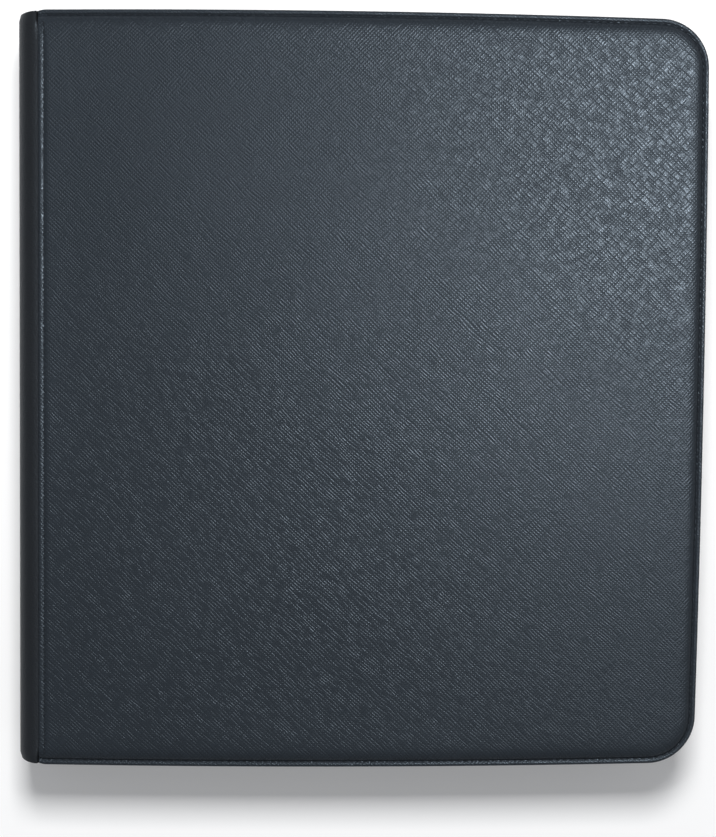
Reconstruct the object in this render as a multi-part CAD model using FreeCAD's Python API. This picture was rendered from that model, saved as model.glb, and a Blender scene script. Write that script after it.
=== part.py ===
"""Trading card binder with a zip round three sides and side-loading pocket pages.

The closed binder lies on its back cover: +Z up, +X from the spine to the fore-edge, +Y to the
head of the pages. The origin is under the middle of the binder. Sizes are in millimetres.

Each cover is a padded panel of grained leatherette over foam and board. A spine wrap joins the
covers and creases at one line beside each of them. Twenty welded pages hang from the spine by
thin hinge strips. Half a zip stands round the three free edges of each cover, with one slider.
"""
import FreeCAD
import Part

import math
import os

V = FreeCAD.Vector

# ---- The cards and the pages that hold them -------------------------------------------------
CARD_W = 63.5
CARD_H = 88.9
CARD_SLACK_W = 4.0          # pocket width beyond the card's
CARD_SLACK_H = 4.1          # pocket height beyond the card's
COLUMNS = 4
ROWS = 3
PAGES = 20
WELD_W = 2.5                # heat-sealed seam between pockets
MOUTH_GAP = 0.5             # bare sheet at each pocket's open side
SHEET_T = 0.2
FILM_T = 0.15
POCKET_GAP = 0.2            # room under the film
HINGE_STRIP_W = 4.0         # thin strip that bends at the spine
WEBBING_W = 8.0             # woven band that reinforces the page's bound edge
WEBBING_T = 0.7
PAGE_CORNER = 4.0           # corners cut off at the fore-edge
PAGE_PITCH = 1.45
PAGE_MARGIN = 2.2           # outermost page to the cover's lining
PAGE_FAN_DEG = 80.0         # lean of the outermost pages when the binder lies open

# ---- The covers ------------------------------------------------------------------------------
FORE_MARGIN = 22.0          # end of the pages to the fore-edge of the covers
HEAD_MARGIN = 31.5          # end of the pages to the head and tail edges
CORNER_R = 22.0
HEAD_BOW = 1.8              # outward bow of the head and tail edges
FORE_BOW = 1.2              # outward bow of the fore-edge
SKIN_T = 0.8
FOAM_T = 1.6
BOARD_T = 2.0
LINING_T = 0.4
RIM_W = 3.8                 # flat stitched rim outside the padding
RIM_SLANT = 0.5             # bevel along the rim's outer edge
PAD_SLANT = 1.5             # bevel where the padding falls to the rim
PAD_SOFTEN = 0.5            # second bevel that eases it into the face
FOAM_SLANT = 1.2            # slant cut along the foam's edge, inside that bevel

# ---- The zip ---------------------------------------------------------------------------------
TAPE_T = 0.6
TAPE_INSET = 6.0            # outer face of the tape, in from the covers' edges
TAPE_HEM_INSET = 1.5        # edge of the tape's sewn flange
COIL_DEPTH = 1.6
COIL_W = 2.2
COIL_SLANT = 0.5            # bevels that stand for the round of the coil
CHAIN_GAP = 1.2             # between the two coils, where the slider's divider runs
BOARD_CLEARANCE = 0.2       # board edge to the tape

# ---- The spine -------------------------------------------------------------------------------
WRAP_R = 8.5
SEAM_FROM_SPINE = 9.4       # edge of the cover panel, in from the spine's face
UNDERLAP = 4.6              # spine wrap sewn under the cover panel
UNDERLAP_END = 1.0          # the underlap stops this far inside the padding
SPINE_SHORT = 1.2           # the spine's ends stand in from the covers' corners
SPINE_BOARD_T = 1.8
BINDING_T = 1.7
BINDING_PAST = 1.2          # binding strip beyond the outermost hinge strips
BINDING_LONGER = 1.5        # and beyond the pages' ends
PAGE_ROOT_CLEARANCE = 0.2
LINING_FROM_SPINE = 8.2
END_TAB_T = 1.2
END_TAB_REACH = 9.4
END_TAB_SHORT = 1.0         # the tab stops short of the spine's rounded corners
HEM_PAST_TAB = 2.0
TAPE_START_GAP = 0.3
CREASE_GAP = 0.05

# ---- The slider and its pull -----------------------------------------------------------------
SLIDER_L = 11.0
SLIDER_SHOULDER_W = 8.8
SLIDER_TAIL_W = 7.4
SLIDER_PLATE_T = 1.05
SLIDER_CLEARANCE = 0.15
SLIDER_FROM_TAB = 8.0       # parked slider's middle from the end of the tape
COIL_SLIDER_GAP = 0.4       # front coil begins this far past the parked slider
SLIDER_CORNER_R = 1.2
DIVIDER_L = 3.6
DIVIDER_CLEARANCE = 0.1
CROWN_L = 7.0
CROWN_W = 1.6
CROWN_T = 0.8
CROWN_LIFT = 1.8
PULL_L = 27.0
PULL_W = 7.4
PULL_NECK_W = 5.4
PULL_NECK_L = 9.0
PULL_T = 1.0
PULL_CLEARANCE = 0.4
PULL_BAR = 1.2
PULL_EYE_W = 2.4
PULL_EYE_L = 3.8
PULL_SLOT_L = 7.0
PULL_SLOT_W = 2.6
PULL_END_MARGIN = 3.0
PULL_ROUND = 1.6
END_ROUND_MARGIN = 3.0      # slider stops this far before the corner of the zip

# ---- Sizes that follow -----------------------------------------------------------------------
POCKET_W = CARD_W + CARD_SLACK_W
POCKET_H = CARD_H + CARD_SLACK_H
STRIP_W = POCKET_W + WELD_W
COLUMN_PITCH = STRIP_W + MOUTH_GAP
FILM_RISE = POCKET_GAP + FILM_T
SHEET_START = HINGE_STRIP_W + WEBBING_W
PAGE_W = SHEET_START + MOUTH_GAP + COLUMNS * COLUMN_PITCH
PAGE_H = ROWS * (POCKET_H + WELD_W) + WELD_W

COVER_T = SKIN_T + FOAM_T + BOARD_T + LINING_T
BOARD_Z = SKIN_T + FOAM_T
LINING_Z = BOARD_Z + BOARD_T
FLANGE_Z = LINING_Z - TAPE_T
RIM_Z = FLANGE_Z - 2 * SKIN_T
THICK = 2 * COVER_T + (PAGES - 1) * PAGE_PITCH + 2 * PAGE_MARGIN
MID_Z = THICK / 2

PAGE_AXIS_DEPTH = SKIN_T + SPINE_BOARD_T + BINDING_T + PAGE_ROOT_CLEARANCE
WIDTH = PAGE_AXIS_DEPTH + PAGE_W + FORE_MARGIN
HALF_H = PAGE_H / 2 + HEAD_MARGIN
SPINE_X = -(WIDTH + FORE_BOW) / 2
FORE_X = SPINE_X + WIDTH                         # at the corners; the fore-edge bows out past it
CENTRE_X = (SPINE_X + FORE_X) / 2
SEAM_X = SPINE_X + SEAM_FROM_SPINE
PAGE_AXIS_X = SPINE_X + PAGE_AXIS_DEPTH
TAPE_INNER = TAPE_INSET + TAPE_T
BOARD_INSET = TAPE_INNER + BOARD_CLEARANCE
PAD_INSET = RIM_W + SKIN_T

WRAP_Z = SKIN_T                                   # the wrap lies one skin below the panels
WRAP_C = (SPINE_X + WRAP_R, WRAP_Z + WRAP_R)      # centre of its rounded corner
CREASE_IN = WRAP_R * (1 - math.cos(math.pi / 4))
HINGE_X = SPINE_X + CREASE_IN
HINGE_BACK_Z = WRAP_Z + CREASE_IN
HINGE_FRONT_Z = THICK - HINGE_BACK_Z
SPINE_HALF = HALF_H - SPINE_SHORT

END_TAB_X = SPINE_X + 2 * SKIN_T
TAPE_X = END_TAB_X + END_TAB_REACH + 1.0 + TAPE_START_GAP
END_TAB_Y = HALF_H - TAPE_INSET                   # outer face of the head end tab
HEM_Y = END_TAB_Y - END_TAB_T - HEM_PAST_TAB

CHAIN_Z = CHAIN_GAP / 2
SLIDER_X = TAPE_X + SLIDER_FROM_TAB
COIL_PAST_SLIDER = SLIDER_X + SLIDER_L / 2 + COIL_SLIDER_GAP
SLIDER_TRAVEL = FORE_X - CORNER_R - END_ROUND_MARGIN - SLIDER_L / 2 - SLIDER_X
TAPE_Y = -(HALF_H - TAPE_INSET)                   # outer face of the tail run of the zip
PLATE_Y = TAPE_Y - COIL_DEPTH - SLIDER_CLEARANCE - SLIDER_PLATE_T
PULL_Y = PLATE_Y - PULL_CLEARANCE - PULL_T / 2    # pivot of the pull
PULL_X = SLIDER_X


def block(x0, x1, y0, y1, z0, z1):
    return Part.makeBox(x1 - x0, y1 - y0, z1 - z0, V(x0, y0, z0))


def page_z(number):
    """Height of a page's middle plane. Page 1 is under the front cover."""
    return THICK - COVER_T - PAGE_MARGIN - (number - 1) * PAGE_PITCH


def page_ratio(number):
    """Turn of a page for each degree that the binder opens; the pages fan out evenly."""
    spread = 1 - 2 * (number - 1) / max(PAGES - 1, 1)
    return spread * PAGE_FAN_DEG / 90.0


# ---- Cover outlines --------------------------------------------------------------------------
def head_edge_y(x, inset, bow):
    """The head edge is a shallow arc that stands out by bow in its middle."""
    if bow == 0:
        return HALF_H - inset
    radius = ((WIDTH / 2) ** 2 + bow ** 2) / (2 * bow)
    return HALF_H - inset + bow - radius + math.sqrt(radius ** 2 - (x - CENTRE_X) ** 2)


def arc_or_line(start, middle, end):
    """An arc, or a line where the three points have no bow."""
    if abs((middle - start).cross(end - start).Length) < 1e-6:
        return Part.LineSegment(start, end).toShape()
    return Part.Arc(start, middle, end).toShape()


def slab(inset, z0, z1, x0, bowed=True):
    """A plate in the covers' outline, drawn in by inset, square at x0 and round at the fore-edge."""
    bow = HEAD_BOW if bowed else 0
    fore = FORE_X - inset
    middle_x = (x0 + fore) / 2
    spine_y = head_edge_y(x0, inset, bow)
    corner_y = head_edge_y(fore, inset, bow)
    middle_y = head_edge_y(middle_x, inset, bow)
    fore_bow = FORE_BOW if bowed else 0
    wire = Part.Wire([
        Part.LineSegment(V(x0, spine_y, z0), V(x0, -spine_y, z0)).toShape(),
        arc_or_line(V(x0, -spine_y, z0), V(middle_x, -middle_y, z0), V(fore, -corner_y, z0)),
        arc_or_line(V(fore, -corner_y, z0), V(fore + fore_bow, 0, z0), V(fore, corner_y, z0)),
        arc_or_line(V(fore, corner_y, z0), V(middle_x, middle_y, z0), V(x0, spine_y, z0)),
    ])
    plate = Part.Face(wire).extrude(V(0, 0, z1 - z0))
    corners = [e for e in plate.Edges if is_upright(e) and e.Vertexes[0].X > middle_x]
    return plate.makeFillet(CORNER_R - inset, corners)


def is_upright(edge):
    a, b = edge.Vertexes[0].Point, edge.Vertexes[-1].Point
    return abs(a.x - b.x) + abs(a.y - b.y) < 1e-6 and abs(a.z - b.z) > 1e-6


def free_edges(shape, z, x0):
    """The edges at height z round the three free sides, without the one at x0."""
    def is_free(edge):
        box = edge.BoundBox
        return abs(box.ZMin - z) < 1e-6 and abs(box.ZMax - z) < 1e-6 and box.XMax > x0 + 1e-3
    return [e for e in shape.Edges if is_free(e)]


# ---- Pieces of one cover, made for the back cover --------------------------------------------
def foam_form(x0):
    """The space that the foam fills under the panel's face, its edge cut at a slant."""
    form = slab(PAD_INSET, SKIN_T, RIM_Z + SKIN_T, x0, bowed=False)
    return form.makeChamfer(FOAM_SLANT, free_edges(form, SKIN_T, x0))


def panel_skin():
    """Leatherette panel: padded face, stitched rim and the edge turned in under it."""
    rim = slab(0, RIM_Z, FLANGE_Z, SEAM_X)
    rim = rim.makeChamfer(RIM_SLANT, free_edges(rim, RIM_Z, SEAM_X))
    face = slab(RIM_W, 0, RIM_Z + SKIN_T, SEAM_X)
    for size in (PAD_SLANT, PAD_SOFTEN):
        face = face.makeChamfer(size, free_edges(face, 0, SEAM_X))
    behind = SEAM_X - 1
    board_hole = slab(TAPE_INNER, RIM_Z, FLANGE_Z + 1, behind, bowed=False)
    return rim.fuse(face).cut(foam_form(behind)).cut(board_hole).removeSplitter()


def wrap_underlap():
    """The strip of the spine wrap that is sewn under the panel."""
    reach = HALF_H - PAD_INSET - UNDERLAP_END
    return block(SEAM_X, SEAM_X + UNDERLAP, -reach, reach, WRAP_Z, WRAP_Z + SKIN_T)


def foam_pad():
    """Foam over the board, thicker past the board's edge, and cut away over the wrap."""
    pad = foam_form(SEAM_X)
    board_room = slab(TAPE_INNER, BOARD_Z, THICK, SEAM_X - 1, bowed=False)
    return pad.cut(board_room).cut(wrap_underlap()).removeSplitter()


def cover_board():
    return slab(BOARD_INSET, BOARD_Z, LINING_Z, SEAM_X, bowed=False)


def cover_lining():
    return slab(BOARD_INSET, LINING_Z, COVER_T, SPINE_X + LINING_FROM_SPINE, bowed=False)


def tape_ring(outer, inner, z0, z1):
    """A wall that follows the zip round the three free sides."""
    ring = slab(outer, z0, z1, TAPE_X, bowed=False)
    return ring.cut(slab(inner, z0 - 1, z1 + 1, TAPE_X - 1, bowed=False))


def zip_tape():
    """Half of the zip's tape: a flange sewn to the rim, and the wall that stands between the covers."""
    flange = tape_ring(TAPE_HEM_INSET, TAPE_INNER, FLANGE_Z, LINING_Z)
    wall = tape_ring(TAPE_INSET, TAPE_INNER, FLANGE_Z, MID_Z - CHAIN_Z)
    return flange.fuse(wall).removeSplitter()


def zip_coil(tail_start=TAPE_X):
    """Half of the zip's coil, sewn on the outside of the tape's free edge.

    The tail run starts at tail_start, and the head run at the end of the tape.
    """
    top = MID_Z - CHAIN_Z
    bead = slab(TAPE_INSET - COIL_DEPTH, top - COIL_W, top, TAPE_X, bowed=False)
    bead = bead.makeChamfer(COIL_SLANT, free_edges(bead, top, TAPE_X) + free_edges(bead, top - COIL_W, TAPE_X))
    bead = bead.cut(slab(TAPE_INSET, 0, THICK, TAPE_X - 1, bowed=False))
    if tail_start > TAPE_X:
        bead = bead.cut(block(TAPE_X - 1, tail_start, -HALF_H, 0, 0, THICK))
    return bead


# ---- Spine -----------------------------------------------------------------------------------
def on_corner(angle_deg, radius):
    """A point on the wrap's rounded corner by the back cover; 270 degrees is straight down."""
    a = math.radians(angle_deg)
    return V(WRAP_C[0] + radius * math.cos(a), 0, WRAP_C[1] + radius * math.sin(a))


def corner_band(outer, inner, start_deg, end_deg):
    """Section of the rounded corner between two angles."""
    middle = (start_deg + end_deg) / 2
    return [
        Part.Arc(*(on_corner(a, outer) for a in (start_deg, middle, end_deg))).toShape(),
        Part.LineSegment(on_corner(end_deg, outer), on_corner(end_deg, inner)).toShape(),
        Part.Arc(*(on_corner(a, inner) for a in (end_deg, middle, start_deg))).toShape(),
        Part.LineSegment(on_corner(start_deg, inner), on_corner(start_deg, outer)).toShape(),
    ]


def along_spine(edges, y0, y1):
    """A section in the XZ plane, drawn out from y0 to y1."""
    face = Part.Face(Part.Wire(edges))
    face.translate(V(0, y0, 0))
    return face.extrude(V(0, y1 - y0, 0))


def hemmed(section, y_hem):
    """The same section one skin thick all along, and two skins thick at the turned-in ends."""
    whole = along_spine(section(0), -SPINE_HALF, SPINE_HALF)
    for y0, y1 in ((-SPINE_HALF, -y_hem), (y_hem, SPINE_HALF)):
        whole = whole.fuse(along_spine(section(SKIN_T), y0, y1))
    return whole.removeSplitter()


def spine_wing():
    """The part of the wrap on the back cover: rounded from the crease, then flat to the seam."""
    def rounded(deeper):
        return corner_band(WRAP_R - deeper, WRAP_R - deeper - SKIN_T, 225, 270)

    wing = hemmed(rounded, HEM_Y)
    flat = block(WRAP_C[0], SEAM_X, -SPINE_HALF, SPINE_HALF, WRAP_Z, WRAP_Z + SKIN_T)
    return wing.fuse([flat, wrap_underlap()]).removeSplitter()


def spine_skin():
    """The part of the wrap on the spine, between the two creases."""
    crease_deg = 225 - math.degrees(CREASE_GAP / WRAP_R)

    def rounded(deeper):
        return corner_band(WRAP_R - deeper, WRAP_R - deeper - SKIN_T, 180, crease_deg)

    corner = hemmed(rounded, HEM_Y)
    skin = corner.fuse(mirrored(corner))
    low, high = WRAP_C[1], THICK - WRAP_C[1]
    skin = skin.fuse(block(SPINE_X, SPINE_X + SKIN_T, -SPINE_HALF, SPINE_HALF, low, high))
    for y0, y1 in ((-SPINE_HALF, -HEM_Y), (HEM_Y, SPINE_HALF)):
        skin = skin.fuse(block(SPINE_X, SPINE_X + 2 * SKIN_T, y0, y1, low, high))
    return skin.removeSplitter()


def spine_board():
    inner = SPINE_X + SKIN_T
    return block(inner, inner + SPINE_BOARD_T, -HEM_Y, HEM_Y, WRAP_C[1], THICK - WRAP_C[1])


def page_binding():
    """Strip that the pages' hinge strips are sewn to, glued inside the spine."""
    inner = SPINE_X + SKIN_T + SPINE_BOARD_T
    half = PAGE_H / 2 + BINDING_LONGER
    low, high = page_z(PAGES) - BINDING_PAST, page_z(1) + BINDING_PAST
    return block(inner, inner + BINDING_T, -half, half, low, high)


def zip_end_tabs():
    """Leatherette tabs that close the ends of the zip at the head and tail of the spine."""
    low, high = WRAP_C[1] + END_TAB_SHORT, THICK - WRAP_C[1] - END_TAB_SHORT
    root = block(END_TAB_X, END_TAB_X + END_TAB_REACH, END_TAB_Y - END_TAB_T, END_TAB_Y, low, high)
    nose = Part.makeCylinder(END_TAB_T / 2, high - low)
    nose.translate(V(END_TAB_X + END_TAB_REACH, END_TAB_Y - END_TAB_T / 2, low))
    head = root.fuse(nose).removeSplitter()
    return Part.makeCompound([head, head.mirror(V(0, 0, 0), V(0, 1, 0))])


# ---- Pages -----------------------------------------------------------------------------------
def page_sheet(number):
    """Black sheet with its thin hinge strip and the woven band along the bound edge."""
    z, half = page_z(number), PAGE_H / 2
    end = PAGE_AXIS_X + PAGE_W
    points = [
        V(PAGE_AXIS_X, -half), V(end - PAGE_CORNER, -half), V(end, -half + PAGE_CORNER),
        V(end, half - PAGE_CORNER), V(end - PAGE_CORNER, half), V(PAGE_AXIS_X, half),
    ]
    sheet = Part.Face(Part.makePolygon(points + points[:1])).extrude(V(0, 0, SHEET_T))
    sheet.translate(V(0, 0, z - SHEET_T / 2))
    band_x = PAGE_AXIS_X + HINGE_STRIP_W
    band = block(band_x, band_x + WEBBING_W, -half, half, z - WEBBING_T / 2, z + WEBBING_T / 2)
    return sheet.fuse(band).removeSplitter()


def pocket_strip(x0):
    """One column of film above z = 0: welded along its far side and between pockets, open at x0."""
    strip = block(x0, x0 + STRIP_W, -PAGE_H / 2, PAGE_H / 2, 0, FILM_RISE)
    for row in range(ROWS):
        y0 = -PAGE_H / 2 + WELD_W + row * (POCKET_H + WELD_W)
        strip = strip.cut(block(x0, x0 + POCKET_W, y0, y0 + POCKET_H, 0, POCKET_GAP))
    return strip


def cut_corners(strip):
    """The outer strip loses its corners with the sheet."""
    end, half = PAGE_AXIS_X + PAGE_W, PAGE_H / 2
    for side in (-1, 1):
        points = [V(end - PAGE_CORNER, side * half), V(end, side * (half - PAGE_CORNER)), V(end, side * half)]
        corner = Part.Face(Part.makePolygon(points + points[:1])).extrude(V(0, 0, FILM_RISE))
        strip = strip.cut(corner)
    return strip


def page_films():
    """The clear pocket strips of both faces of a page whose middle plane is z = 0."""
    first = PAGE_AXIS_X + SHEET_START + MOUTH_GAP
    upper = [pocket_strip(first + column * COLUMN_PITCH) for column in range(COLUMNS)]
    upper[-1] = cut_corners(upper[-1])
    for strip in upper:
        strip.translate(V(0, 0, SHEET_T / 2))
    lower = [strip.mirror(V(0, 0, 0), V(0, 0, 1)) for strip in upper]
    return Part.makeCompound(upper + lower)


# ---- Slider and pull -------------------------------------------------------------------------
def slider_plate(y0, y1):
    """Boat-shaped plate, wide at the shoulder that leads when the zip closes."""
    front, tail = SLIDER_X - SLIDER_L / 2, SLIDER_X + SLIDER_L / 2
    waist = SLIDER_X
    points = [
        V(front, y0, MID_Z - SLIDER_SHOULDER_W / 2), V(waist, y0, MID_Z - SLIDER_SHOULDER_W / 2),
        V(tail, y0, MID_Z - SLIDER_TAIL_W / 2), V(tail, y0, MID_Z + SLIDER_TAIL_W / 2),
        V(waist, y0, MID_Z + SLIDER_SHOULDER_W / 2), V(front, y0, MID_Z + SLIDER_SHOULDER_W / 2),
    ]
    plate = Part.Face(Part.makePolygon(points + points[:1])).extrude(V(0, y1 - y0, 0))
    corners = [e for e in plate.Edges if abs(e.Vertexes[0].X - e.Vertexes[-1].X) < 1e-6
               and abs(e.Vertexes[0].Z - e.Vertexes[-1].Z) < 1e-6 and abs(e.Vertexes[0].X - waist) > 1e-6]
    return plate.makeFillet(SLIDER_CORNER_R, corners)


def slider_divider(y0, y1):
    """Wedge that joins the two plates and runs between the coils."""
    half = CHAIN_GAP / 2 - DIVIDER_CLEARANCE
    front = SLIDER_X - SLIDER_L / 2
    points = [
        V(front, y0, MID_Z - half), V(front + DIVIDER_L, y0, MID_Z),
        V(front, y0, MID_Z + half),
    ]
    wedge = Part.Face(Part.makePolygon(points + points[:1])).extrude(V(0, y1 - y0, 0))
    return wedge


def slider_crown():
    """Arched bridge on the outer plate that holds the pull."""
    outer = PLATE_Y - CROWN_LIFT - CROWN_T
    arch = block(PULL_X - CROWN_L / 2, PULL_X + CROWN_L / 2, outer, PLATE_Y,
                 MID_Z - CROWN_W / 2, MID_Z + CROWN_W / 2)
    shoulders = [e for e in arch.Edges if abs(e.Vertexes[0].Y - outer) < 1e-6
                 and abs(e.Vertexes[-1].Y - outer) < 1e-6 and abs(e.Vertexes[0].X - e.Vertexes[-1].X) < 1e-6]
    arch = arch.makeFillet(CROWN_T, shoulders)
    gap = block(PULL_X - CROWN_L / 2 + CROWN_T, PULL_X + CROWN_L / 2 - CROWN_T,
                PLATE_Y - CROWN_LIFT, PLATE_Y, MID_Z - CROWN_W, MID_Z + CROWN_W)
    return arch.cut(gap)


def zip_slider():
    """Two plates joined by the divider, with flanges round the coils and the crown outside."""
    inner_y = TAPE_Y + TAPE_T + SLIDER_CLEARANCE
    outer_inside = PLATE_Y + SLIDER_PLATE_T
    flange_end = TAPE_Y - SLIDER_CLEARANCE
    shell = slider_plate(PLATE_Y, flange_end)
    half = CHAIN_Z + COIL_W + SLIDER_CLEARANCE
    channel = block(SLIDER_X - SLIDER_L, SLIDER_X + SLIDER_L, outer_inside, flange_end,
                    MID_Z - half, MID_Z + half)
    inner = slider_plate(inner_y, inner_y + SLIDER_PLATE_T)
    divider = slider_divider(outer_inside, inner_y)
    return shell.cut(channel).fuse([inner, divider, slider_crown()]).removeSplitter()


def pull_outline():
    """Tab that starts narrow at the pivot, widens along the neck and ends round."""
    start, end = PULL_X - PULL_BAR / 2, PULL_X + PULL_L
    neck = PULL_X + PULL_NECK_L
    y0 = PULL_Y - PULL_T / 2
    half, neck_half = PULL_W / 2, PULL_NECK_W / 2
    points = [
        V(start, y0, MID_Z - neck_half), V(neck, y0, MID_Z - neck_half),
        V(end, y0, MID_Z - half), V(end, y0, MID_Z + half),
        V(neck, y0, MID_Z + neck_half), V(start, y0, MID_Z + neck_half),
    ]
    tab = Part.Face(Part.makePolygon(points + points[:1])).extrude(V(0, PULL_T, 0))
    far = [e for e in tab.Edges if abs(e.Vertexes[0].X - end) < 1e-6 and abs(e.Vertexes[-1].X - end) < 1e-6
           and abs(e.Vertexes[0].Z - e.Vertexes[-1].Z) < 1e-6]
    return tab.makeFillet(PULL_ROUND, far)


def pull_slot(start, length, width):
    """A round-ended slot through the tab."""
    y0, depth = PULL_Y - PULL_T, 2 * PULL_T
    radius = width / 2
    slot = block(start + radius, start + length - radius, y0, y0 + depth, MID_Z - radius, MID_Z + radius)
    for x in (start + radius, start + length - radius):
        slot = slot.fuse(Part.makeCylinder(radius, depth, V(x, y0, MID_Z), V(0, 1, 0)))
    return slot.removeSplitter()


def zip_pull():
    """Flat metal tab with the eye that the crown passes through and a slot near its end."""
    eye = block(PULL_X + PULL_BAR / 2, PULL_X + PULL_BAR / 2 + PULL_EYE_L, PULL_Y - PULL_T, PULL_Y + PULL_T,
                MID_Z - PULL_EYE_W / 2, MID_Z + PULL_EYE_W / 2)
    slot = pull_slot(PULL_X + PULL_L - PULL_END_MARGIN - PULL_SLOT_L, PULL_SLOT_L, PULL_SLOT_W)
    return pull_outline().cut(eye).cut(slot)


# ---- Assembly --------------------------------------------------------------------------------
def mirrored(shape):
    """The same piece at the other cover."""
    return shape.mirror(V(0, 0, MID_Z), V(0, 0, 1))


def make_pieces():
    """Every piece of the binder by its node name."""
    cover = {
        "panel_skin": panel_skin(), "spine_wing": spine_wing(), "foam_pad": foam_pad(),
        "board": cover_board(), "lining": cover_lining(), "zip_tape": zip_tape(),
    }
    pieces = {}
    for name, shape in cover.items():
        pieces["back_" + name] = shape
        pieces["front_" + name] = mirrored(shape)
    pieces.update({
        "back_zip_coil": zip_coil(), "front_zip_coil": mirrored(zip_coil(COIL_PAST_SLIDER)),
        "spine_skin": spine_skin(), "spine_board": spine_board(), "page_binding": page_binding(),
        "zip_end_tabs": zip_end_tabs(), "zip_slider": zip_slider(), "zip_pull": zip_pull(),
    })
    films = page_films()
    for number in range(1, PAGES + 1):
        pieces["page_%02d_sheet" % number] = page_sheet(number)
        lifted = films.copy()
        lifted.translate(V(0, 0, page_z(number)))
        pieces["page_%02d_pockets" % number] = lifted
    return pieces


def main():
    os.makedirs("parts", exist_ok=True)
    for name, shape in make_pieces().items():
        assert shape.isValid() and shape.Solids, name
        shape.exportStep("parts/%s.step" % name)
    print("binder %.1f x %.1f x %.1f mm" % (WIDTH, 2 * HALF_H, THICK))


if __name__ == "__main__":
    main()
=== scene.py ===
import math

import bmesh
import bpy
from bmesh.types import BMEdge, BMFace, BMVert
from mathutils import Matrix, Vector
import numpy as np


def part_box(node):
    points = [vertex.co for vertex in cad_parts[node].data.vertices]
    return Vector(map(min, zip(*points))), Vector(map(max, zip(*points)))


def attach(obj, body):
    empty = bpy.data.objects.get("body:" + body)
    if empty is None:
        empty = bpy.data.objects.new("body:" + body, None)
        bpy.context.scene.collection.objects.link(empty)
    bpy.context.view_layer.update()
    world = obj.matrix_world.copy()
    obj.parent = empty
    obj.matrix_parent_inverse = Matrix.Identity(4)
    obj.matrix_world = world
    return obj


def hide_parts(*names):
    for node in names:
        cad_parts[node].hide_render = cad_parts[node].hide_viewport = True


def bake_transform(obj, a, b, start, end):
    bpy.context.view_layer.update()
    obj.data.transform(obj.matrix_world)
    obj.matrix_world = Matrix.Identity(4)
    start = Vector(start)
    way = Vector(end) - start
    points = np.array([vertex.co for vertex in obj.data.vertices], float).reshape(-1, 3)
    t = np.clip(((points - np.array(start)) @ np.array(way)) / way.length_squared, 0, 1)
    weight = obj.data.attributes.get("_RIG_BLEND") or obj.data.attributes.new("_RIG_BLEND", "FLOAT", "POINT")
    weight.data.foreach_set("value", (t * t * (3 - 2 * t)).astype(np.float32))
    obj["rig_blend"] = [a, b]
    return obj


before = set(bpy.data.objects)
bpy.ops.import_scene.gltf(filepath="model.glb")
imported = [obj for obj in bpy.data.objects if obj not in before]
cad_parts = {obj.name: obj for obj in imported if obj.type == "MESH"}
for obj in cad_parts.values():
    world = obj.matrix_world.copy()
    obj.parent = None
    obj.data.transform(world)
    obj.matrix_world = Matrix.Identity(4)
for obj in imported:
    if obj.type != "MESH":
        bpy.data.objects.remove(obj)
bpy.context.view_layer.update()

bl_info = {
    "name": "Trading Card Binder",
    "version": (1, 0, 0),
    "blender": (4, 5, 0),
    "location": "3D View > Sidebar > Binder",
    "description": "Dresses a zip-round card binder with leatherette, stitching, zip and pocket pages",
    "category": "Object",
}

# ---- Places read from the frame ----
PANEL_LOW, PANEL_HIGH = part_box("front_panel_skin")
WING_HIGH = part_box("front_spine_wing")[1]
SPINE_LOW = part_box("spine_skin")[0]
TAPE_LOW, TAPE_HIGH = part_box("front_zip_tape")
TAB_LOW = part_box("zip_end_tabs")[0]
SLIDER_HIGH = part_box("zip_slider")[1]
PAGE_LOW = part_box("page_01_sheet")[0]
FILM_LOW, FILM_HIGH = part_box("page_01_pockets")
COLUMNS, ROWS = 4, 3  # pockets on a face of a page
WELD_W = 0.0025  # width of the seams between pockets
MOUTH_GAP = 0.0005  # from a pocket's mouth to the next column

THICK = PANEL_HIGH[2]
MID_Z = THICK / 2
SEAM_X = PANEL_LOW[0]
SPINE_X = SPINE_LOW[0]
HEM_INSET = 0.0015  # the tape's sewn edge, in from the cover's edge
FORE_X = TAPE_HIGH[0] + HEM_INSET  # fore-edge at the corners
HALF_H = TAPE_HIGH[1] + HEM_INSET  # head edge at the corners
FORE_BOW = PANEL_HIGH[0] - FORE_X
HEAD_BOW = PANEL_HIGH[1] - HALF_H
CENTRE_X = (SPINE_X + FORE_X) / 2
HALF_W = (FORE_X - SPINE_X) / 2
TAPE_X = TAPE_LOW[0]
TAPE_INSET = 0.006  # the tape's wall, in from the cover's edge
TAPE_T = 0.0006  # thickness of the tape
TEETH_START = {"back": TAPE_X, "front": SLIDER_HIGH[0] + 0.0004}  # first tooth on the tail side
WRAP_Z = THICK - WING_HIGH[2]  # the wrap lies this far below the panels
WRAP_END = WING_HIGH[1] + 0.0007  # the wrap's rolled ends, level with the panels' rims
PAGE_COUNT = len([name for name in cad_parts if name.startswith("page_") and name.endswith("_sheet")])
MM = 0.001
QUARTER = math.pi / 2


# ---- Settings that a user would change ----
def length(name, description, default, low=0.0):
    return bpy.props.FloatProperty(name=name, description=description, default=default, min=low,
                                   unit="LENGTH", precision=5)


def colour(name, description, default):
    return bpy.props.FloatVectorProperty(name=name, description=description, default=default, size=3,
                                         min=0.0, max=1.0, subtype="COLOR")


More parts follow.
